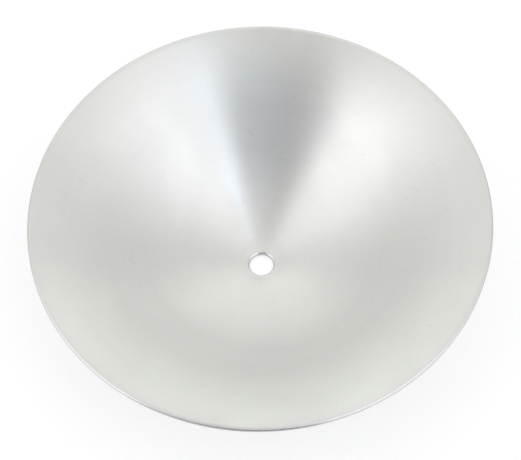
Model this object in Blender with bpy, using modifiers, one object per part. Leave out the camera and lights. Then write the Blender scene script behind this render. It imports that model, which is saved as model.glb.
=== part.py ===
"""Bell cymbal, modelled as one turned aluminium shell.

The shell lies open side up, resting on its crown. +Z points out of the open side, and the
origin is the middle of the stand hole, on the plane that the crown rests on. Metres.

The sheet's middle line is a path from the stand hole out to the rim: a flat seat, a tight
crown arc, a long flank arc, a short straight cone and a brim arc that bends the other way.
The section is this path given its thickness, with a full round edge at the hole and at the
rim, and the shell is the section turned about the stand hole's axis.
"""

import math

import bpy

# Overall sizes, in metres
RIM_DIAMETER = 0.2286
SHEET_THICKNESS = 0.0028

# Stand hole and the flat seat round it
HOLE_DIAMETER = 0.012
SEAT_WIDTH = 0.0014

# Diameters at which one stretch of the middle line passes into the next
CROWN_DIAMETER = 0.030
CONE_INNER_DIAMETER = 0.116
CONE_OUTER_DIAMETER = 0.152

# Slopes of the middle line, in degrees from level
CROWN_SLOPE = 13.0
CONE_SLOPE = 31.5
RIM_SLOPE = 17.5

# Fineness of the faces
TURN_STEPS = 96
ARC_STEP = 4.0
EDGE_STEPS = 8

# Satin bare aluminium
SHELL_COLOUR = (0.80, 0.80, 0.79, 1.0)
SHELL_ROUGHNESS = 0.35
SHELL_METALLIC = 1.0

EDGE_RADIUS = SHEET_THICKNESS / 2


def clear_scene():
    """Remove every object of the open scene."""
    for old in list(bpy.data.objects):
        bpy.data.objects.remove(old, do_unlink=True)


def new_collection(name):
    """Return a new collection in the scene."""
    collection = bpy.data.collections.new(name)
    bpy.context.scene.collection.children.link(collection)
    return collection


def satin_aluminium():
    """Return the shell's material."""
    material = bpy.data.materials.new("satin_aluminium")
    material.use_nodes = True
    surface = material.node_tree.nodes["Principled BSDF"]
    surface.inputs["Base Color"].default_value = SHELL_COLOUR
    surface.inputs["Roughness"].default_value = SHELL_ROUGHNESS
    surface.inputs["Metallic"].default_value = SHELL_METALLIC
    return material


def stretch(start, end):
    """Return the points of one stretch after its start, each as (radius, height, slope).

    start is (radius, height, slope) and end is (radius, slope). Between two unlike slopes
    the stretch is an arc that leaves and arrives at those slopes, and between two like
    slopes it is straight.
    """
    radius_0, height_0, slope_0 = start
    radius_1, slope_1 = end
    reach = radius_1 - radius_0
    if math.isclose(slope_0, slope_1):
        return [(radius_1, height_0 + reach * math.tan(slope_0), slope_1)]
    arc_radius = reach / (math.sin(slope_1) - math.sin(slope_0))
    steps = math.ceil(abs(math.degrees(slope_1 - slope_0)) / ARC_STEP)
    points = []
    for step in range(1, steps + 1):
        slope = slope_0 + (slope_1 - slope_0) * step / steps
        radius = radius_0 + arc_radius * (math.sin(slope) - math.sin(slope_0))
        height = height_0 + arc_radius * (math.cos(slope_0) - math.cos(slope))
        points.append((radius, height, slope))
    return points


def middle_line():
    """Return the sheet's middle line from the hole's edge to the rim."""
    seat_inner = HOLE_DIAMETER / 2 + EDGE_RADIUS
    crown = math.radians(CROWN_SLOPE)
    cone = math.radians(CONE_SLOPE)
    rim = math.radians(RIM_SLOPE)
    stations = [
        (seat_inner + SEAT_WIDTH, 0.0),
        (CROWN_DIAMETER / 2, crown),
        (CONE_INNER_DIAMETER / 2, cone),
        (CONE_OUTER_DIAMETER / 2, cone),
        (RIM_DIAMETER / 2 - EDGE_RADIUS, rim),
    ]
    line = [(seat_inner, EDGE_RADIUS, 0.0)]
    for station in stations:
        line.extend(stretch(line[-1], station))
    return line


def face_point(point, side):
    """Return the sheet's surface point beside a middle line point, as (radius, height).

    side is 1 for the open side and -1 for the crown side.
    """
    radius, height, slope = point
    offset = side * EDGE_RADIUS
    return radius - offset * math.sin(slope), height + offset * math.cos(slope)


def round_edge(point, start_angle):
    """Return the half circle round a middle line's end, without its two end points.

    It turns clockwise, seen with +Z up and the radius to the right.
    """
    radius, height, _ = point
    points = []
    for step in range(1, EDGE_STEPS):
        angle = start_angle - math.pi * step / EDGE_STEPS
        x = radius + EDGE_RADIUS * math.cos(angle)
        z = height + EDGE_RADIUS * math.sin(angle)
        points.append((x, z))
    return points


def shell_section():
    """Return the closed section of the shell, running down its outer side at the rim."""
    line = middle_line()
    rim_slope = line[-1][2]
    open_side = [face_point(point, 1) for point in line]
    crown_side = [face_point(point, -1) for point in reversed(line)]
    rim_edge = round_edge(line[-1], rim_slope + math.pi / 2)
    hole_edge = round_edge(line[0], -math.pi / 2)
    return open_side + rim_edge + crown_side + hole_edge


def turned_shell(name, section, material, collection):
    """Turn a closed section about Z into a smooth shaded shell."""
    count = len(section)
    vertices = [(radius, 0.0, height) for radius, height in section]
    edges = [(index, (index + 1) % count) for index in range(count)]
    mesh = bpy.data.meshes.new(name)
    mesh.from_pydata(vertices, edges, [])
    mesh.materials.append(material)
    shell = bpy.data.objects.new(name, mesh)
    collection.objects.link(shell)
    turn = shell.modifiers.new("turn", "SCREW")
    turn.axis = "Z"
    turn.angle = math.tau
    turn.steps = TURN_STEPS
    turn.render_steps = TURN_STEPS
    turn.use_smooth_shade = True
    return shell


def main():
    clear_scene()
    collection = new_collection("bell_cymbal")
    turned_shell("bell_shell", shell_section(), satin_aluminium(), collection)


main()
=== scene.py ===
"""Bell cymbal: the turned aluminium shell in its finish, with its studio and camera.

The file is laid out as an add-on and is run as a script. The frame that it loads gives the
shell's outer sizes, and each operator makes one piece, or the stage. Metres, with +Z out of
the bell's open side.
"""

import math
from dataclasses import dataclass

import bpy
from bpy.props import FloatProperty, FloatVectorProperty, IntProperty, PointerProperty
from mathutils import Matrix, Vector


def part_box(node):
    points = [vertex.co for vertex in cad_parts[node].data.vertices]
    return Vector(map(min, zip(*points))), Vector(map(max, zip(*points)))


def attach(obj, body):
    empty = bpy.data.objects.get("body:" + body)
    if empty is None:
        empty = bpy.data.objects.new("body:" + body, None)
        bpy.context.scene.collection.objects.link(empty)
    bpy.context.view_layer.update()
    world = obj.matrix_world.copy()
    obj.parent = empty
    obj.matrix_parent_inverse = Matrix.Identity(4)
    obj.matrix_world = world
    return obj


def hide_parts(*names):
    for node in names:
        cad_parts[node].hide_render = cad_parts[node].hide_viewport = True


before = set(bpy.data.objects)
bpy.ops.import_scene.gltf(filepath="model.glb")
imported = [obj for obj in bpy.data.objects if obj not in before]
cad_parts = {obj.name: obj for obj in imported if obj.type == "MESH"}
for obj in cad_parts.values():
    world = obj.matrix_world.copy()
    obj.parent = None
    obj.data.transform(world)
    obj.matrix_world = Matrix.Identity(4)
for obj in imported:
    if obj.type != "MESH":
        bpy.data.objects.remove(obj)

bl_info = {
    "name": "Bell Cymbal",
    "version": (1, 0, 0),
    "blender": (4, 5, 0),
    "location": "3D View > Sidebar > Bell Cymbal",
    "description": "Makes a satin aluminium bell cymbal and the studio that it is seen in",
    "category": "Object",
}

CAD_SHELL = "bell_shell"
SHELL_LOW, SHELL_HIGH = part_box(CAD_SHELL)

# The camera's focal length is counted in pixels of a picture of this width
PICTURE_WIDTH = 521
SENSOR_WIDTH = 36.0

WHITE = (1.0, 1.0, 1.0, 1.0)

# How far the rim may lean from a face and still have that face's finish
FACE_LEAN = math.radians(50.0)

# A face is on one side where the side that its corners carry is past this on average
SIDE_LIMIT = 0.75

# Lays the drawn-out sheen across the turning marks, as a share of a full turn
SHEEN_TURN = 0.25

# Middle of a noise mask, about which it makes the metal both lighter and darker
MIDDLE = 0.5

# Share of a mark's reach within which it is at its full strength
MARK_CORE = 0.4

# Smallest nick, as a share of the size that is asked for
SMALLEST_NICK = 0.4

# Levels of noise at which smudges and turned arcs begin, and at which they are full
SMUDGE_LEVELS = (0.3, 0.7)
ARC_LEVELS = (0.62, 0.74)

# Ragged places of a worn edge in each metre
RAGS_PER_METRE = 160.0

# Shifts the crown side's marks from those of the open side, and turns scratches off the pits
CROWN_SIDE_OFFSET = 1.3
SCRATCH_TURN = 0.7

# Share of the light that the floor sends back, and of its glow that the metal mirrors
FLOOR_PALENESS = 0.9
MIRRORED_GLOW = 0.1
FLOOR_ROUGHNESS = 0.9
FLOOR_RADIUS = 4.0
FLOOR_SIDES = 128


class BellSizes(bpy.types.PropertyGroup):
    """Sizes of the shell's section and the fineness of its faces."""

    rim_diameter: FloatProperty(
        name="Rim Diameter",
        description="Outer diameter of the rim",
        default=SHELL_HIGH.x - SHELL_LOW.x,
        unit="LENGTH",
    )
    sheet_thickness: FloatProperty(
        name="Sheet Thickness",
        description="Gauge of the sheet, which is the same all over",
        default=0.0028,
        precision=4,
        unit="LENGTH",
    )
    rim_easing: FloatProperty(
        name="Rim Easing",
        description="How far in from the rim the sheet begins to round over",
        default=0.0022,
        precision=4,
        unit="LENGTH",
    )
    hole_diameter: FloatProperty(
        name="Stand Hole",
        description="Diameter of the stand hole through the crown",
        default=0.012,
        precision=4,
        unit="LENGTH",
    )
    seat_width: FloatProperty(
        name="Seat Width",
        description="Width of the flat ring round the stand hole",
        default=0.0014,
        precision=4,
        unit="LENGTH",
    )
    crown_diameter: FloatProperty(
        name="Crown Diameter",
        description="Diameter at which the crown's tight arc ends",
        default=0.030,
        unit="LENGTH",
    )
    cone_inner_diameter: FloatProperty(
        name="Cone Inner Diameter",
        description="Diameter at which the flank's arc passes into the straight cone",
        default=0.116,
        unit="LENGTH",
    )
    cone_outer_diameter: FloatProperty(
        name="Cone Outer Diameter",
        description="Diameter at which the straight cone passes into the brim's arc",
        default=0.152,
        unit="LENGTH",
    )
    crown_slope: FloatProperty(
        name="Crown Slope",
        description="Slope of the sheet where the crown's tight arc ends",
        default=math.radians(13.0),
        subtype="ANGLE",
    )
    cone_slope: FloatProperty(
        name="Cone Slope",
        description="Slope of the straight cone",
        default=math.radians(31.5),
        subtype="ANGLE",
    )
    rim_slope: FloatProperty(
        name="Rim Slope",
        description="Slope of the sheet at the rim",
        default=math.radians(17.5),
        subtype="ANGLE",
    )
    turn_steps: IntProperty(
        name="Turn Steps",
        description="Faces round the shell",
        default=288,
        min=24,
    )
    face_length: FloatProperty(
        name="Face Length",
        description="Longest face along the section, measured outwards",
        default=0.0016,
        precision=4,
        unit="LENGTH",
    )
    edge_steps: IntProperty(
        name="Edge Steps",
        description="Faces across each round edge",
        default=24,
        min=4,
    )


class BellFinish(bpy.types.PropertyGroup):
    """Colour and sheen of the bare metal."""

    metal_colour: FloatVectorProperty(
        name="Metal Colour",
        description="Colour of the satin aluminium",
        default=(0.80, 0.80, 0.79),
        min=0.0,
        max=1.0,
        subtype="COLOR",
    )
    # Darker than the metal colour as painted shade for the darker surroundings the edges mirror
    edge_colour_with_shade: FloatVectorProperty(
        name="Edge Colour",
        description="Colour of the polished rim and hole edges",
        default=(0.76, 0.76, 0.76),
        min=0.0,
        max=1.0,
        subtype="COLOR",
    )
    satin_roughness: FloatProperty(
        name="Satin Roughness",
        description="Roughness of the turned faces",
        default=0.325,
        min=0.0,
        max=1.0,
        subtype="FACTOR",
    )
    turned_sheen: FloatProperty(
        name="Turned Sheen",
        description="How far a highlight is drawn out across the turning marks",
        default=0.78,
        min=0.0,
        max=1.0,
        subtype="FACTOR",
    )
    edge_sheen: FloatProperty(
        name="Edge Sheen",
        description="How far a highlight is drawn out across the marks of the edges",
        default=0.5,
        min=0.0,
        max=1.0,
        subtype="FACTOR",
    )
    edge_roughness: FloatProperty(
        name="Edge Roughness",
        description="Roughness of the rounded rim and hole edges",
        default=0.2,
        min=0.0,
        max=1.0,
        subtype="FACTOR",
    )
    mark_depth: FloatProperty(
        name="Mark Depth",
        description="Depth of the turning marks",
        default=0.000006,
        precision=6,
        unit="LENGTH",
    )
    wear_width: FloatProperty(
        name="Wear Width",
        description="Width of the rubbed band along the rim and the stand hole",
        default=0.006,
        precision=4,
        unit="LENGTH",
    )


class BellStudio(bpy.types.PropertyGroup):
    """Where the camera stands and how strong each light of the studio is."""

    # The distance is a guess, and a fit to the rim's outline gave the camera's other values
    camera_elevation: FloatProperty(
        name="Camera Elevation",
        description="Angle of the view above the horizon",
        default=math.radians(60.39),
        subtype="ANGLE",
    )
    camera_roll: FloatProperty(
        name="Camera Roll",
        description="How far the camera is turned about its own axis",
        default=math.radians(-2.06),
        subtype="ANGLE",
    )
    camera_distance: FloatProperty(
        name="Camera Distance",
        description="From the camera to the middle of the rim",
        default=1.2,
        unit="LENGTH",
    )
    camera_aside: FloatProperty(
        name="Camera Aside",
        description="How far the camera is moved to its own right",
        default=0.0003,
        precision=4,
        unit="LENGTH",
    )
    camera_lift: FloatProperty(
        name="Camera Lift",
        description="How far the camera is moved along its own upward axis",
        default=-0.0049,
        precision=4,
        unit="LENGTH",
    )
    focal_pixels: FloatProperty(
        name="Focal Length in Pixels",
        description="Focal length, in pixels of a picture 521 pixels wide",
        default=2446.2,
    )
    room_light: FloatProperty(
        name="Room Light",
        description="Strength of the even light from all round",
        default=1.0,
        min=0.0,
    )
    left_light: FloatProperty(
        name="Left Light",
        description="Strength of the soft light on the left, above the room's",
        default=1.0,
        min=0.0,
    )
    right_light: FloatProperty(
        name="Right Light",
        description="Strength of the soft light on the right, above the room's",
        default=1.0,
        min=0.0,
    )
    back_light: FloatProperty(
        name="Back Light",
        description="Strength of the soft light behind the bell, above the room's",
        default=1.0,
        min=0.0,
    )
    front_light: FloatProperty(
        name="Front Light",
        description="Strength of the weak soft light above the camera",
        default=1.0,
        min=0.0,
    )
    cool_lamp: FloatProperty(
        name="Cool Lamp",
        description="Strength of the small cool lamp high on the right",
        default=1.0,
        min=0.0,
    )
    floor_shade: FloatProperty(
        name="Floor Shade",
        description="Share of the lit floor, with its shadow, that the camera sees",
        default=0.45,
        min=0.0,
        max=1.0,
        subtype="FACTOR",
    )
    floor_glow: FloatProperty(
        name="Floor Glow",
        description="Plain white that lifts the floor that the camera sees",
        default=0.68,
        min=0.0,
        max=1.0,
        subtype="FACTOR",
    )


@dataclass(frozen=True)
class SoftPatch:
    """A soft-edged patch of the surroundings, in degrees as seen from the bell."""

    azimuth: float
    half_width: float
    side_blur: float
    top: float
    bottom: float
    edge_blur: float
    colour: tuple


@dataclass(frozen=True)
class Scuff:
    """One mark on the open side: metres from the axis, degrees round it, and its reach."""

    radius: float
    azimuth: float
    half_out: float
    half_round: float
    darkness: float


# Half the width of a turned arc that shows on the open side
HALF_ARC_WIDTH = 0.0004

# The few marks that show there: four turned arcs, a scratch that runs outwards, and specks
SCUFFS = (
    Scuff(radius=0.0535, azimuth=75.0, half_out=HALF_ARC_WIDTH, half_round=7.5, darkness=0.07),
    Scuff(radius=0.0590, azimuth=96.0, half_out=HALF_ARC_WIDTH, half_round=3.0, darkness=0.07),
    Scuff(radius=0.0575, azimuth=94.5, half_out=HALF_ARC_WIDTH, half_round=5.0, darkness=0.05),
    Scuff(radius=0.0590, azimuth=80.5, half_out=HALF_ARC_WIDTH, half_round=2.5, darkness=0.07),
    Scuff(radius=0.0355, azimuth=103.5, half_out=0.0035, half_round=0.7, darkness=0.07),
    Scuff(radius=0.0380, azimuth=228.5, half_out=0.0005, half_round=0.8, darkness=0.10),
    Scuff(radius=0.0535, azimuth=198.5, half_out=0.0005, half_round=0.6, darkness=0.06),
    Scuff(radius=0.0175, azimuth=176.5, half_out=0.0006, half_round=1.8, darkness=0.05),
    Scuff(radius=0.0145, azimuth=104.0, half_out=0.0005, half_round=2.0, darkness=0.08),
)

# Azimuth runs from +X towards +Y, and top and bottom are counted down from straight up.
# The values of the patches and the room weren't set by hand: a least squares fit to the
# photograph's tones gave them, and they are rounded.
LEFT_PATCH = SoftPatch(
    azimuth=206.5,
    half_width=41.5,
    side_blur=92.0,
    top=27.5,
    bottom=83.0,
    edge_blur=30.0,
    colour=(0.76, 0.75, 0.80),
)
RIGHT_PATCH = SoftPatch(
    azimuth=326.0,
    half_width=34.0,
    side_blur=114.0,
    top=15.5,
    bottom=84.5,
    edge_blur=68.0,
    colour=(0.77, 0.77, 0.85),
)
BACK_PATCH = SoftPatch(
    azimuth=88.5,
    half_width=36.5,
    side_blur=48.0,
    top=35.0,
    bottom=77.0,
    edge_blur=11.0,
    colour=(0.42, 0.43, 0.41),
)
FRONT_PATCH = SoftPatch(
    azimuth=269.0,
    half_width=15.5,
    side_blur=40.0,
    top=29.5,
    bottom=33.5,
    edge_blur=8.0,
    colour=(1.75, 2.20, 2.60),
)
COOL_LAMP = SoftPatch(
    azimuth=305.5,
    half_width=3.0,
    side_blur=6.5,
    top=23.5,
    bottom=27.0,
    edge_blur=3.0,
    colour=(5.5, 8.5, 12.0),
)
CAMERA_GAP = SoftPatch(
    azimuth=254.5,
    half_width=35.5,
    side_blur=7.5,
    top=19.0,
    bottom=120.0,
    edge_blur=5.0,
    colour=(0.03, 0.03, 0.02),
)
ROOM_ZENITH = (0.83, 0.83, 0.80)
ROOM_HORIZON = (0.56, 0.57, 0.54)


def stretch(start, end, longest):
    """Return the points of one stretch of the middle line, as (radius, height, slope)."""
    radius_0, height_0, slope_0 = start
    radius_1, slope_1 = end
    reach = radius_1 - radius_0
    steps = max(1, math.ceil(reach / longest))
    points = []
    if math.isclose(slope_0, slope_1):
        for step in range(1, steps + 1):
            part = reach * step / steps
            points.append((radius_0 + part, height_0 + part * math.tan(slope_0), slope_1))
        return points
    arc_radius = reach / (math.sin(slope_1) - math.sin(slope_0))
    for step in range(1, steps + 1):
        slope = slope_0 + (slope_1 - slope_0) * step / steps
        radius = radius_0 + arc_radius * (math.sin(slope) - math.sin(slope_0))
        height = height_0 + arc_radius * (math.cos(slope_0) - math.cos(slope))
        points.append((radius, height, slope))
    return points


def middle_line(sizes):
    """Return the sheet's middle line from the stand hole out to the rim."""
    edge = sizes.sheet_thickness / 2
    seat_inner = sizes.hole_diameter / 2 + edge
    stations = [
        (seat_inner + sizes.seat_width, 0.0),
        (sizes.crown_diameter / 2, sizes.crown_slope),
        (sizes.cone_inner_diameter / 2, sizes.cone_slope),
        (sizes.cone_outer_diameter / 2, sizes.cone_slope),
        (sizes.rim_diameter / 2 - edge, sizes.rim_slope),
    ]
    line = [(seat_inner, edge, 0.0)]
    for station in stations:
        line.extend(stretch(line[-1], station, sizes.face_length))
    return line


def face_point(point, edge, side):
    """Return the surface point beside a middle line point, as (radius, height, side)."""
    radius, height, slope = point
    x = radius - side * edge * math.sin(slope)
    z = height + side * edge * math.cos(slope)
    return x, z, side


def round_edge(point, reach, edge, heading, steps):
    """Return the half ellipse past a middle line's end, without its two end points.

    It runs clockwise, seen with +Z up and the radius to the right, and reaches along the
    heading. Where it is drawn out, the part that leans little from a face has that face's side.
    """
    radius, height, _ = point
    points = []
    for step in range(1, steps):
        angle = math.pi * (0.5 - step / steps)
        ahead = reach * math.cos(angle)
        aside = edge * math.sin(angle)
        lean = math.atan2(edge * math.cos(angle), reach * abs(math.sin(angle)))
        side = math.copysign(1, angle) if lean < FACE_LEAN and reach > edge else 0
        x = radius + ahead * math.cos(heading) - aside * math.sin(heading)
        z = height + ahead * math.sin(heading) + aside * math.cos(heading)
        points.append((x, z, side))
    return points


def eased_line(line, step_back):
    """Return the middle line ended sooner, by a step back from the rim to where it rounds."""
    radius, height, slope = line[-1]
    radius -= step_back * math.cos(slope)
    height -= step_back * math.sin(slope)
    return [point for point in line if point[0] < radius] + [(radius, height, slope)]


def shell_section(sizes):
    """Return the closed section as (radius, height, side), down its outer side at the rim.

    The side is 1 on the open side, -1 on the crown side and 0 on the round edges.
    """
    edge = sizes.sheet_thickness / 2
    steps = sizes.edge_steps
    line = eased_line(middle_line(sizes), sizes.rim_easing - edge)
    open_side = [face_point(point, edge, 1) for point in line]
    crown_side = [face_point(point, edge, -1) for point in reversed(line)]
    rim_edge = round_edge(line[-1], sizes.rim_easing, edge, line[-1][2], steps)
    hole_edge = round_edge(line[0], edge, edge, math.pi, steps)
    return open_side + rim_edge + crown_side + hole_edge


def section_mesh(sizes):
    """Return the section as a loop of edges, drawn from the stand hole's radius outwards.

    A profile's Y points down where its path turns about +Z, so each height is turned over.
    """
    hole_radius = sizes.hole_diameter / 2
    section = shell_section(sizes)
    count = len(section)
    vertices = [(radius - hole_radius, -height, 0.0) for radius, height, _ in section]
    edges = [(index, (index + 1) % count) for index in range(count)]
    mesh = bpy.data.meshes.new("bell_section")
    mesh.from_pydata(vertices, edges, [])
    side = mesh.attributes.new("side", "FLOAT", "POINT")
    side.data.foreach_set("value", [float(point[2]) for point in section])
    return mesh


def add_socket(tree, in_out, name, kind, default=None):
    """Add one named socket to a node group."""
    socket = tree.interface.new_socket(name, in_out=in_out, socket_type=kind)
    if default is not None:
        socket.default_value = default


def put(tree, kind, values=None, **settings):
    """Add a node, set its properties, and link or fill its inputs."""
    node = tree.nodes.new(kind)
    for name, value in settings.items():
        setattr(node, name, value)
    for key, value in (values or {}).items():
        if isinstance(value, bpy.types.NodeSocket):
            tree.links.new(value, node.inputs[key])
        else:
            node.inputs[key].default_value = value
    return node


def calc(tree, operation, *values):
    """Return the result of a Math node over numbers and sockets."""
    return put(tree, "ShaderNodeMath", dict(enumerate(values)), operation=operation).outputs[0]


def calc_vector(tree, operation, *values):
    """Return the vector result of a Vector Math node over vectors and sockets."""
    node = put(tree, "ShaderNodeVectorMath", dict(enumerate(values)), operation=operation)
    return node.outputs["Vector"]


def scaled(tree, vector, factor):
    """Return a vector or colour times a number."""
    values = {"Vector": vector, "Scale": factor}
    return put(tree, "ShaderNodeVectorMath", values, operation="SCALE").outputs["Vector"]


def ramp(tree, value, start, end):
    """Return a smooth step from 0 at start to 1 at end."""
    values = {"Value": value, "From Min": start, "From Max": end}
    node = put(tree, "ShaderNodeMapRange", values, interpolation_type="SMOOTHSTEP")
    return node.outputs["Result"]


def turned_shell_tree():
    """Return the Geometry Nodes tree that turns a section into the shell."""
    tree = bpy.data.node_groups.new("turned_shell", "GeometryNodeTree")
    add_socket(tree, "INPUT", "Section", "NodeSocketGeometry")
    add_socket(tree, "INPUT", "Turn Steps", "NodeSocketInt", 96)
    add_socket(tree, "INPUT", "Hole Radius", "NodeSocketFloat", 0.006)
    for finish in ("Open Side", "Crown Side", "Edges"):
        add_socket(tree, "INPUT", finish, "NodeSocketMaterial")
    add_socket(tree, "OUTPUT", "Shell", "NodeSocketGeometry")
    given = put(tree, "NodeGroupInput").outputs
    loop = put(tree, "GeometryNodeMeshToCurve", {"Mesh": given["Section"]})
    ring = put(
        tree,
        "GeometryNodeCurvePrimitiveCircle",
        {"Resolution": given["Turn Steps"], "Radius": given["Hole Radius"]},
    )
    turned = put(
        tree,
        "GeometryNodeCurveToMesh",
        {"Curve": ring.outputs["Curve"], "Profile Curve": loop.outputs["Curve"]},
    )
    smooth = put(tree, "GeometryNodeSetShadeSmooth", {"Geometry": turned.outputs["Mesh"]})
    real = put(tree, "GeometryNodeRealizeInstances", {"Geometry": smooth.outputs["Geometry"]})
    side = put(tree, "GeometryNodeInputNamedAttribute", {"Name": "side"}, data_type="FLOAT")
    shell = real.outputs["Geometry"]
    for finish, operation, limit in (
        ("Edges", None, 0.0),
        ("Open Side", "GREATER_THAN", SIDE_LIMIT),
        ("Crown Side", "LESS_THAN", -SIDE_LIMIT),
    ):
        values = {"Geometry": shell, "Material": given[finish]}
        if operation:
            compared = {"A": side.outputs["Attribute"], "B": limit}
            where = put(
                tree, "FunctionNodeCompare", compared, data_type="FLOAT", operation=operation
            )
            values["Selection"] = where.outputs["Result"]
        shell = put(tree, "GeometryNodeSetMaterial", values).outputs["Geometry"]
    put(tree, "NodeGroupOutput", {"Shell": shell})
    return tree


def set_inputs(modifier, values):
    """Set a Geometry Nodes modifier's inputs, found by name and set by identifier."""
    for item in modifier.node_group.interface.items_tree:
        if item.item_type == "SOCKET" and item.in_out == "INPUT" and item.name in values:
            modifier[item.identifier] = values[item.name]


def made_plain(maker, name):
    """Return a plain mesh object of what a Geometry Nodes object makes, and remove that."""
    depsgraph = bpy.context.evaluated_depsgraph_get()
    mesh = bpy.data.meshes.new_from_object(
        maker.evaluated_get(depsgraph), preserve_all_data_layers=True, depsgraph=depsgraph
    )
    mesh.name = name
    bpy.data.objects.remove(maker, do_unlink=True)
    piece = bpy.data.objects.new(name, mesh)
    bpy.context.collection.objects.link(piece)
    return piece


def new_effect(name, inputs, outputs):
    """Return a new shader group with its input sockets, and the sockets inside it."""
    tree = bpy.data.node_groups.new(name, "ShaderNodeTree")
    for socket, default in inputs.items():
        add_socket(tree, "INPUT", socket, "NodeSocketFloat", default)
    for socket in outputs:
        add_socket(tree, "OUTPUT", socket, "NodeSocketFloat")
    return tree, put(tree, "NodeGroupInput").outputs


def use_effect(tree, effect, **values):
    """Place a shader group and return its outputs.

    A value's name is its socket's in small letters, with underscores for spaces.
    """
    node = put(tree, "ShaderNodeGroup", node_tree=effect)
    for socket in node.inputs:
        key = socket.name.lower().replace(" ", "_")
        if key in values:
            socket.default_value = values[key]
    return node.outputs


def flat_place(tree):
    """Return the place on the object and the same without its height."""
    place = put(tree, "ShaderNodeTexCoord").outputs["Object"]
    return place, calc_vector(tree, "MULTIPLY", place, (1.0, 1.0, 0.0))


def length_of(tree, vector):
    """Return a vector's length."""
    return put(tree, "ShaderNodeVectorMath", {0: vector}, operation="LENGTH").outputs["Value"]


def turning_marks_effect():
    """Return the group of fine marks that run round the axis, from 0 to 1.

    The noise is read on a cylinder about the axis: quickly from one radius to the next, and
    slowly on the way round, so that the marks meet themselves.
    """
    inputs = {"Marks per Metre": 2000.0, "Breaks Round": 1.5, "Offset": 0.0}
    tree, given = new_effect("turning_marks", inputs, ["Marks"])
    place, flat = flat_place(tree)
    heading = calc_vector(tree, "NORMALIZE", flat)
    height = put(tree, "ShaderNodeSeparateXYZ", {0: place}).outputs["Z"]
    outwards = calc(tree, "ADD", length_of(tree, flat), height)
    along = calc(tree, "MULTIPLY_ADD", outwards, given["Marks per Metre"], given["Offset"])
    across = put(tree, "ShaderNodeCombineXYZ", {"Z": along}).outputs["Vector"]
    around = scaled(tree, heading, given["Breaks Round"])
    values = {"Vector": calc_vector(tree, "ADD", around, across), "Scale": 1.0, "Detail": 3.0}
    noise = put(tree, "ShaderNodeTexNoise", values)
    put(tree, "NodeGroupOutput", {"Marks": noise.outputs["Fac"]})
    return tree


def smudges_effect():
    """Return the group of large faint smudges from handling, from 0 to 1."""
    tree, given = new_effect("smudges", {"Smudges per Metre": 24.0, "Offset": 0.0}, ["Smudges"])
    place, _ = flat_place(tree)
    shift = put(tree, "ShaderNodeCombineXYZ", {"X": given["Offset"]}).outputs["Vector"]
    values = {
        "Vector": calc_vector(tree, "ADD", place, shift),
        "Scale": given["Smudges per Metre"],
        "Detail": 4.0,
        "Distortion": 0.6,
    }
    noise = put(tree, "ShaderNodeTexNoise", values)
    mask = ramp(tree, noise.outputs["Fac"], *SMUDGE_LEVELS)
    put(tree, "NodeGroupOutput", {"Smudges": mask})
    return tree


def nicks_effect():
    """Return the group of small marks scattered over a face, from 0 to 1.

    Each cell of a stretched Voronoi pattern may hold one mark. Even cells give round pits,
    and long narrow ones give scratches.
    """
    inputs = {
        "Cells Along": 150.0,
        "Cells Across": 150.0,
        "Turn": 0.0,
        "Share": 0.05,
        "Size": 0.05,
    }
    tree, given = new_effect("nicks", inputs, ["Nicks"])
    _, flat = flat_place(tree)
    values = {"Vector": flat, "Angle": given["Turn"]}
    turned = put(tree, "ShaderNodeVectorRotate", values, rotation_type="Z_AXIS")
    cells = {"X": given["Cells Along"], "Y": given["Cells Across"]}
    stretched = put(tree, "ShaderNodeCombineXYZ", cells).outputs["Vector"]
    cell_place = calc_vector(tree, "MULTIPLY", turned.outputs["Vector"], stretched)
    values = {"Vector": cell_place, "Scale": 1.0}
    cell = put(tree, "ShaderNodeTexVoronoi", values, voronoi_dimensions="2D").outputs
    lot = put(tree, "ShaderNodeSeparateColor", {"Color": cell["Color"]}).outputs
    chosen = calc(tree, "LESS_THAN", lot["Red"], given["Share"])
    share = calc(tree, "ADD", lot["Green"], SMALLEST_NICK)
    reach = calc(tree, "MULTIPLY", given["Size"], share)
    mark = ramp(tree, cell["Distance"], reach, calc(tree, "MULTIPLY", reach, MARK_CORE))
    put(tree, "NodeGroupOutput", {"Nicks": calc(tree, "MULTIPLY", mark, chosen)})
    return tree


def edge_wear_effect():
    """Return the group of the rubbed bands along the rim and the stand hole, from 0 to 1."""
    inputs = {"Hole Radius": 0.006, "Rim Radius": 0.114, "Width": 0.004}
    tree, given = new_effect("edge_wear", inputs, ["Wear"])
    place, flat = flat_place(tree)
    radius = length_of(tree, flat)
    from_rim = calc(tree, "SUBTRACT", given["Rim Radius"], radius)
    from_hole = calc(tree, "SUBTRACT", radius, given["Hole Radius"])
    distance = calc(tree, "MINIMUM", from_rim, from_hole)
    values = {"Vector": place, "Scale": RAGS_PER_METRE, "Detail": 3.0}
    noise = put(tree, "ShaderNodeTexNoise", values)
    ragged = calc(tree, "SUBTRACT", noise.outputs["Fac"], MIDDLE)
    ragged = calc(tree, "MULTIPLY_ADD", ragged, given["Width"], distance)
    put(tree, "NodeGroupOutput", {"Wear": ramp(tree, ragged, given["Width"], 0.0)})
    return tree


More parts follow.
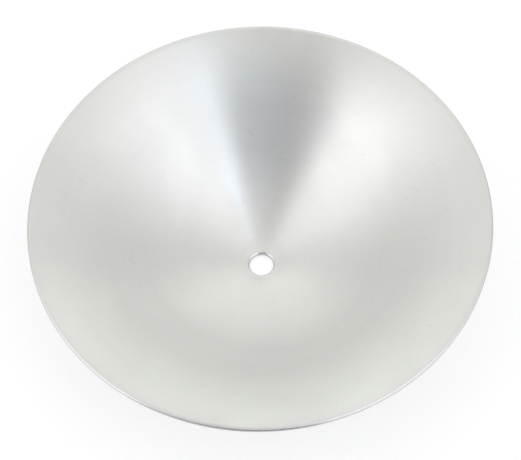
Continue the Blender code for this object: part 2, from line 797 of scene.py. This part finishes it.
def scuff_effect():
    """Return the group of one mark at a given place round the axis, from 0 to 1."""
    inputs = {"Radius": 0.05, "Azimuth": 0.0, "Half Out": 0.0004, "Half Round": 0.1}
    tree, given = new_effect("scuff", inputs, ["Scuff"])
    place, flat = flat_place(tree)
    parts = put(tree, "ShaderNodeSeparateXYZ", {0: place}).outputs
    azimuth = calc(tree, "ARCTAN2", parts["Y"], parts["X"])
    aside = calc(tree, "SUBTRACT", azimuth, given["Azimuth"])
    aside = calc(tree, "ABSOLUTE", calc(tree, "WRAP", aside, math.pi, -math.pi))
    core = calc(tree, "MULTIPLY", given["Half Round"], MARK_CORE)
    along = ramp(tree, aside, given["Half Round"], core)
    out = calc(tree, "SUBTRACT", length_of(tree, flat), given["Radius"])
    across = ramp(tree, calc(tree, "ABSOLUTE", out), given["Half Out"], 0.0)
    put(tree, "NodeGroupOutput", {"Scuff": calc(tree, "MULTIPLY", along, across)})
    return tree


def placed_scuffs(tree, effect, scuffs):
    """Place each mark and return them as one mask, as dark as each mark is."""
    parts = []
    for scuff in scuffs:
        mark = use_effect(
            tree,
            effect,
            radius=scuff.radius,
            azimuth=math.radians(scuff.azimuth),
            half_out=scuff.half_out,
            half_round=math.radians(scuff.half_round),
        )["Scuff"]
        parts.append((mark, 0.0, scuff.darkness))
    return sum_of(tree, 0.0, parts)


def new_metal(name, roughness, sheen):
    """Return a metal's material, its tree and its shader, with highlights across the marks."""
    material = bpy.data.materials.new(name)
    material.use_nodes = True
    tree = material.node_tree
    surface = tree.nodes["Principled BSDF"]
    surface.inputs["Metallic"].default_value = 1.0
    surface.inputs["Roughness"].default_value = roughness
    surface.inputs["Anisotropic"].default_value = sheen
    surface.inputs["Anisotropic Rotation"].default_value = SHEEN_TURN
    tangent = put(tree, "ShaderNodeTangent", direction_type="RADIAL", axis="Z")
    tree.links.new(tangent.outputs["Tangent"], surface.inputs["Tangent"])
    return material, tree, surface


def sum_of(tree, start, parts):
    """Return start plus the sum of each part, given as a mask, its middle and its weight.

    A part adds its weight times how far its mask lies above its middle.
    """
    total = start
    for mask, middle, weight in parts:
        if middle:
            mask = calc(tree, "SUBTRACT", mask, middle)
        total = calc(tree, "MULTIPLY_ADD", mask, weight, total)
    return total


def finish_metal(tree, surface, colour, tones, roughness, roughs, heights, depth):
    """Drive a metal's colour, roughness and relief from its masks."""
    tone = sum_of(tree, 1.0, tones)
    shade = scaled(tree, colour, tone)
    tree.links.new(shade, surface.inputs["Base Color"])
    rough = sum_of(tree, roughness, roughs)
    tree.links.new(rough, surface.inputs["Roughness"])
    relief = sum_of(tree, 0.0, heights)
    bump = put(tree, "ShaderNodeBump", {"Strength": 1.0, "Distance": depth, "Height": relief})
    tree.links.new(bump.outputs["Normal"], surface.inputs["Normal"])


def satin_face(name, effects, sizes, finish, offset, scuffs=()):
    """Return the turned satin finish of one face of the sheet, with its own marks."""
    material, tree, surface = new_metal(name, finish.satin_roughness, finish.turned_sheen)
    marks = effects["marks"]
    fine = use_effect(tree, marks, marks_per_metre=2400.0, breaks_round=2.0, offset=offset)
    broad = use_effect(tree, marks, marks_per_metre=420.0, breaks_round=0.6, offset=offset)
    arcs = use_effect(tree, marks, marks_per_metre=900.0, breaks_round=7.0, offset=offset)
    arcs = ramp(tree, arcs["Marks"], *ARC_LEVELS)
    smudges = use_effect(tree, effects["smudges"], smudges_per_metre=24.0, offset=offset)
    pits = use_effect(tree, effects["nicks"], share=0.03, size=0.06, turn=offset)["Nicks"]
    scratches = use_effect(
        tree,
        effects["nicks"],
        cells_along=45.0,
        cells_across=420.0,
        turn=offset + SCRATCH_TURN,
        share=0.05,
        size=0.16,
    )["Nicks"]
    wear = use_effect(
        tree,
        effects["wear"],
        hole_radius=sizes.hole_diameter / 2,
        rim_radius=sizes.rim_diameter / 2,
        width=finish.wear_width,
    )["Wear"]
    fine, broad, smudges = fine["Marks"], broad["Marks"], smudges["Smudges"]
    tones = [
        (fine, MIDDLE, 0.05),
        (broad, MIDDLE, 0.04),
        (arcs, 0.0, -0.03),
        (smudges, MIDDLE, -0.03),
        (pits, 0.0, -0.15),
        (scratches, 0.0, -0.06),
    ]
    roughs = [
        (fine, MIDDLE, 0.08),
        (broad, MIDDLE, 0.06),
        (arcs, 0.0, 0.05),
        (smudges, MIDDLE, 0.05),
        (pits, 0.0, 0.1),
        (wear, 0.0, 0.07),
    ]
    heights = [
        (fine, MIDDLE, 1.0),
        (broad, MIDDLE, 1.5),
        (arcs, 0.0, -0.6),
        (pits, 0.0, -3.0),
        (scratches, 0.0, -1.5),
    ]
    if scuffs:
        marked = placed_scuffs(tree, effects["scuff"], scuffs)
        tones.append((marked, 0.0, -1.0))
        heights.append((marked, 0.0, -8.0))
    colour = tuple(finish.metal_colour)
    roughness = finish.satin_roughness
    finish_metal(tree, surface, colour, tones, roughness, roughs, heights, finish.mark_depth)
    return material


def polished_edge(effects, finish):
    """Return the finish of the rounded rim and hole edges."""
    roughness = finish.edge_roughness
    material, tree, surface = new_metal("polished_edge", roughness, finish.edge_sheen)
    marks = effects["marks"]
    lines = use_effect(tree, marks, marks_per_metre=5000.0, breaks_round=3.0)["Marks"]
    smudges = use_effect(tree, effects["smudges"], smudges_per_metre=60.0)["Smudges"]
    nicks = use_effect(
        tree, effects["nicks"], cells_along=260.0, cells_across=260.0, share=0.08, size=0.12
    )["Nicks"]
    tones = [(lines, MIDDLE, 0.08), (smudges, MIDDLE, -0.05), (nicks, 0.0, -0.3)]
    roughs = [(lines, MIDDLE, 0.12), (smudges, MIDDLE, 0.08), (nicks, 0.0, 0.2)]
    heights = [(lines, MIDDLE, 1.0), (nicks, 0.0, -4.0)]
    # The edges' darker colour is painted shade for the darker surroundings that they mirror
    colour = tuple(finish.edge_colour_with_shade)
    finish_metal(tree, surface, colour, tones, roughness, roughs, heights, finish.mark_depth)
    return material


class BELL_OT_shell(bpy.types.Operator):
    """Turn the bell's section into its finished shell"""

    bl_idname = "bell.make_shell"
    bl_label = "Make Shell"

    def execute(self, context):
        sizes = context.scene.bell_sizes
        finish = context.scene.bell_finish
        effects = {
            "marks": turning_marks_effect(),
            "smudges": smudges_effect(),
            "nicks": nicks_effect(),
            "wear": edge_wear_effect(),
            "scuff": scuff_effect(),
        }
        open_side = satin_face("satin_open_side", effects, sizes, finish, 0.0, SCUFFS)
        crown_side = satin_face("satin_crown_side", effects, sizes, finish, CROWN_SIDE_OFFSET)
        values = {
            "Turn Steps": sizes.turn_steps,
            "Hole Radius": sizes.hole_diameter / 2,
            "Open Side": open_side,
            "Crown Side": crown_side,
            "Edges": polished_edge(effects, finish),
        }
        maker = bpy.data.objects.new("bell_section", section_mesh(sizes))
        context.collection.objects.link(maker)
        turn = maker.modifiers.new("turn", "NODES")
        turn.node_group = turned_shell_tree()
        set_inputs(turn, values)
        shell = made_plain(maker, "turned_shell")
        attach(shell, "root")
        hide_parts(CAD_SHELL)
        return {"FINISHED"}


def soft_patch_effect():
    """Return the group of a soft-edged patch of the surroundings, from 0 to 1."""
    inputs = {
        "Azimuth": 0.0,
        "Half Width": 0.5,
        "Side Blur": 0.2,
        "Top": 0.5,
        "Bottom": 1.0,
        "Edge Blur": 0.2,
    }
    tree, given = new_effect("soft_patch", inputs, ["Patch"])
    way = put(tree, "ShaderNodeTexCoord").outputs["Generated"]
    parts = put(tree, "ShaderNodeSeparateXYZ", {0: way}).outputs
    azimuth = calc(tree, "ARCTAN2", parts["Y"], parts["X"])
    from_top = calc(tree, "ARCCOSINE", parts["Z"])
    aside = calc(tree, "SUBTRACT", azimuth, given["Azimuth"])
    aside = calc(tree, "ABSOLUTE", calc(tree, "WRAP", aside, math.pi, -math.pi))
    half_blur = calc(tree, "DIVIDE", given["Side Blur"], 2.0)
    side_start = calc(tree, "ADD", given["Half Width"], half_blur)
    side_end = calc(tree, "SUBTRACT", given["Half Width"], half_blur)
    sides = ramp(tree, aside, side_start, side_end)
    edge = calc(tree, "DIVIDE", given["Edge Blur"], 2.0)
    top_start = calc(tree, "SUBTRACT", given["Top"], edge)
    top_end = calc(tree, "ADD", given["Top"], edge)
    below_top = ramp(tree, from_top, top_start, top_end)
    bottom_start = calc(tree, "ADD", given["Bottom"], edge)
    bottom_end = calc(tree, "SUBTRACT", given["Bottom"], edge)
    above_bottom = ramp(tree, from_top, bottom_start, bottom_end)
    patch = calc(tree, "MULTIPLY", sides, calc(tree, "MULTIPLY", below_top, above_bottom))
    put(tree, "NodeGroupOutput", {"Patch": patch})
    return tree


def patch_mask(tree, effect, patch):
    """Place one patch in the surroundings and return its mask."""
    return use_effect(
        tree,
        effect,
        azimuth=math.radians(patch.azimuth),
        half_width=math.radians(patch.half_width),
        side_blur=math.radians(patch.side_blur),
        top=math.radians(patch.top),
        bottom=math.radians(patch.bottom),
        edge_blur=math.radians(patch.edge_blur),
    )["Patch"]


def mixed(tree, factor, colour, other):
    """Return a colour mixed towards another by a factor."""
    node = tree.nodes.new("ShaderNodeMix")
    node.data_type = "VECTOR"
    for name, value in {"Factor": factor, "A": colour, "B": other}.items():
        socket = next(s for s in node.inputs if s.name == name and s.enabled)
        if isinstance(value, bpy.types.NodeSocket):
            tree.links.new(value, socket)
        else:
            socket.default_value = value
    return next(s for s in node.outputs if s.enabled)


def make_surroundings(scene, studio):
    """Light the scene from a pale room with soft lights, and show white to the camera."""
    world = bpy.data.worlds.new("studio")
    scene.world = world
    world.use_nodes = True
    tree = world.node_tree
    tree.nodes.clear()
    effect = soft_patch_effect()
    way = put(tree, "ShaderNodeTexCoord").outputs["Generated"]
    height = put(tree, "ShaderNodeSeparateXYZ", {0: way}).outputs["Z"]
    overhead = calc(tree, "MULTIPLY", height, height)
    room = mixed(tree, overhead, ROOM_HORIZON, ROOM_ZENITH)
    room = scaled(tree, room, studio.room_light)
    light = mixed(tree, patch_mask(tree, effect, CAMERA_GAP), room, CAMERA_GAP.colour)
    for patch, strength in (
        (LEFT_PATCH, studio.left_light),
        (RIGHT_PATCH, studio.right_light),
        (BACK_PATCH, studio.back_light),
        (FRONT_PATCH, studio.front_light),
        (COOL_LAMP, studio.cool_lamp),
    ):
        mask = calc(tree, "MULTIPLY", patch_mask(tree, effect, patch), strength)
        light = calc_vector(tree, "ADD", light, scaled(tree, patch.colour, mask))
    shown = put(tree, "ShaderNodeLightPath").outputs["Is Camera Ray"]
    white = put(tree, "ShaderNodeBackground", {"Color": WHITE, "Strength": 1.0})
    lit = put(tree, "ShaderNodeBackground", {"Color": light, "Strength": 1.0})
    both = {0: shown, 1: lit.outputs[0], 2: white.outputs[0]}
    mix = put(tree, "ShaderNodeMixShader", both)
    put(tree, "ShaderNodeOutputWorld", {"Surface": mix.outputs[0]})


def pale_floor(studio):
    """Return the floor's finish: pale for the light, and nearly white where it is looked at.

    The camera sees a share of the lit floor, which keeps the bell's shadow, and a glow that
    lifts it to white. The metal sees part of that glow and more of the shadow.
    """
    material = bpy.data.materials.new("pale_floor")
    material.use_nodes = True
    tree = material.node_tree
    surface = tree.nodes["Principled BSDF"]
    surface.inputs["Roughness"].default_value = FLOOR_ROUGHNESS
    surface.inputs["Specular IOR Level"].default_value = 0.0
    surface.inputs["Emission Color"].default_value = WHITE
    path = put(tree, "ShaderNodeLightPath").outputs
    mirrored = calc(tree, "MULTIPLY", path["Is Glossy Ray"], MIRRORED_GLOW)
    seen = calc(tree, "MAXIMUM", path["Is Camera Ray"], mirrored)
    darkening = FLOOR_PALENESS * (studio.floor_shade - 1.0)
    lit = calc(tree, "MULTIPLY_ADD", seen, darkening, FLOOR_PALENESS)
    tree.links.new(lit, surface.inputs["Base Color"])
    glow = calc(tree, "MULTIPLY", seen, studio.floor_glow)
    tree.links.new(glow, surface.inputs["Emission Strength"])
    return material


def make_floor(studio):
    """Lay the pale floor on the plane that the crown rests on."""
    bpy.ops.mesh.primitive_circle_add(
        vertices=FLOOR_SIDES, radius=FLOOR_RADIUS, fill_type="NGON"
    )
    floor = bpy.context.object
    floor.name = "studio_floor"
    floor.data.materials.append(pale_floor(studio))


def make_camera(scene, studio, sizes):
    """Stand the camera at the photograph's view."""
    elevation = studio.camera_elevation
    back = Vector((0.0, -math.cos(elevation), math.sin(elevation)))
    level_right = Vector((1.0, 0.0, 0.0))
    level_up = back.cross(level_right)
    roll = studio.camera_roll
    right = math.cos(roll) * level_right + math.sin(roll) * level_up
    up = back.cross(right)
    rim_height = middle_line(sizes)[-1][1]
    place = Vector((0.0, 0.0, rim_height)) + back * studio.camera_distance
    place += right * studio.camera_aside + up * studio.camera_lift
    lens = bpy.data.cameras.new("photo_camera")
    lens.sensor_width = SENSOR_WIDTH
    lens.lens = studio.focal_pixels * SENSOR_WIDTH / PICTURE_WIDTH
    camera = bpy.data.objects.new("photo_camera", lens)
    scene.collection.objects.link(camera)
    turn = Matrix((right, up, back)).transposed().to_4x4()
    camera.matrix_world = Matrix.Translation(place) @ turn
    scene.camera = camera


class BELL_OT_stage(bpy.types.Operator):
    """Set the floor, the surroundings and the camera"""

    bl_idname = "bell.set_stage"
    bl_label = "Set Stage"

    def execute(self, context):
        scene = context.scene
        make_floor(scene.bell_studio)
        make_surroundings(scene, scene.bell_studio)
        make_camera(scene, scene.bell_studio, scene.bell_sizes)
        scene.view_settings.view_transform = "Standard"
        return {"FINISHED"}


class BELL_PT_panel(bpy.types.Panel):
    """The bell's sizes, its finish and the studio"""

    bl_label = "Bell Cymbal"
    bl_idname = "BELL_PT_panel"
    bl_space_type = "VIEW_3D"
    bl_region_type = "UI"
    bl_category = "Bell Cymbal"

    def draw(self, context):
        for title, group in (("Shell", "sizes"), ("Finish", "finish"), ("Studio", "studio")):
            settings = getattr(context.scene, f"bell_{group}")
            box = self.layout.box()
            box.label(text=title)
            for name in settings.__annotations__:
                box.prop(settings, name)
        for operator in OPERATORS:
            self.layout.operator(operator.bl_idname)


GROUPS = {"bell_sizes": BellSizes, "bell_finish": BellFinish, "bell_studio": BellStudio}
OPERATORS = (BELL_OT_shell, BELL_OT_stage)


def register():
    for name, group in GROUPS.items():
        bpy.utils.register_class(group)
        setattr(bpy.types.Scene, name, PointerProperty(type=group))
    for part in (*OPERATORS, BELL_PT_panel):
        bpy.utils.register_class(part)


def unregister():
    for part in (BELL_PT_panel, *reversed(OPERATORS)):
        bpy.utils.unregister_class(part)
    for name, group in reversed(GROUPS.items()):
        delattr(bpy.types.Scene, name)
        bpy.utils.unregister_class(group)


def main():
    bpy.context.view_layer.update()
    register()
    bpy.ops.bell.make_shell()
    bpy.ops.bell.set_stage()


if __name__ == "__main__":
    main()
